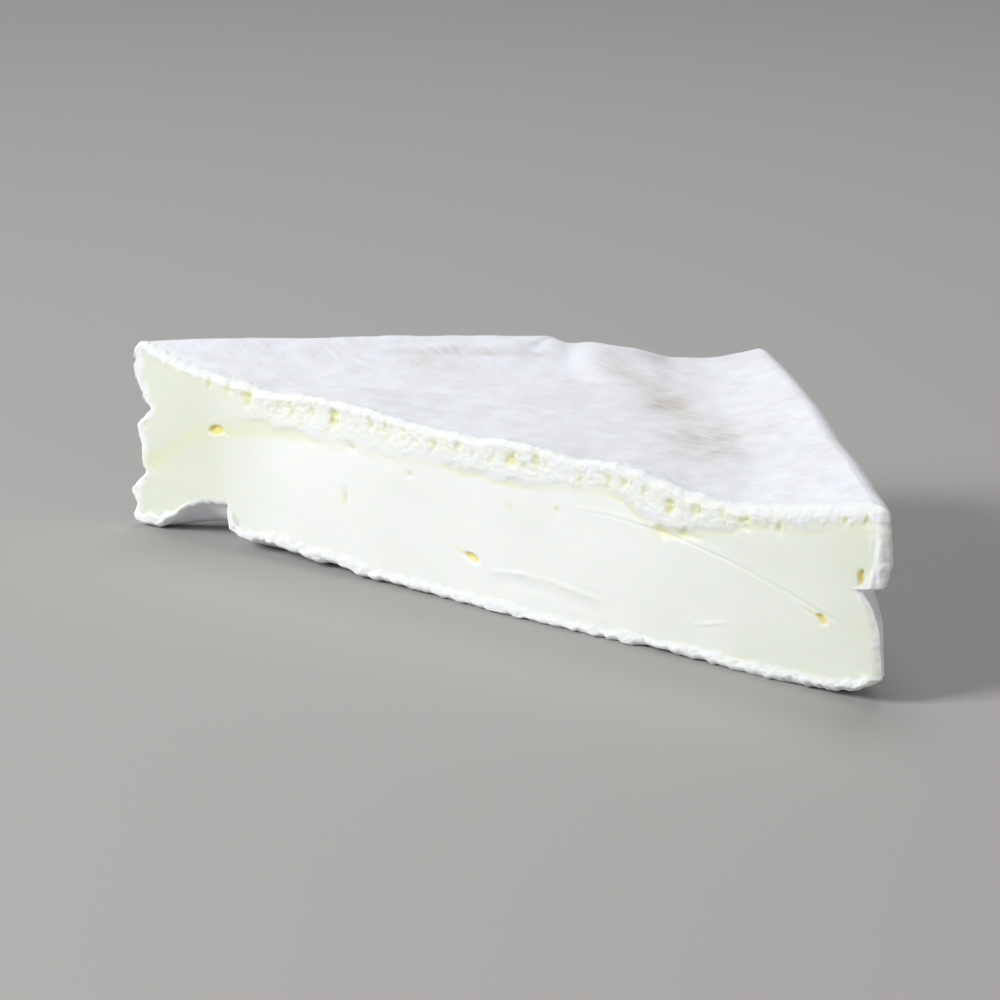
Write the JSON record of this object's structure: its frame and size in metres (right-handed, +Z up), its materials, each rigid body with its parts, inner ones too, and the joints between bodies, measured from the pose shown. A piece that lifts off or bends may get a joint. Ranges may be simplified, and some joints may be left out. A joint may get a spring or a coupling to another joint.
{
  "type": "bloomy rind cheese",
  "caption": "Half of a square soft cheese cut from corner to corner, with a white bloomy rind round a smooth ivory paste.",
  "frame": {"origin": "on the floor, under the middle of the piece's bounding box", "axes": "+X along the cut, to the right as the cut is looked at; +Y from the cut to the square's own corner; +Z up"},
  "size_m": [0.1916, 0.0976, 0.0409],
  "materials": {
    "cheese": "white mould rind, matt and velvety, round a pale ivory paste with a faint moist sheen on the cut"
  },
  "bodies": {
    "root": {"cheese_wedge": "cheese"}
  },
  "joints": []
}
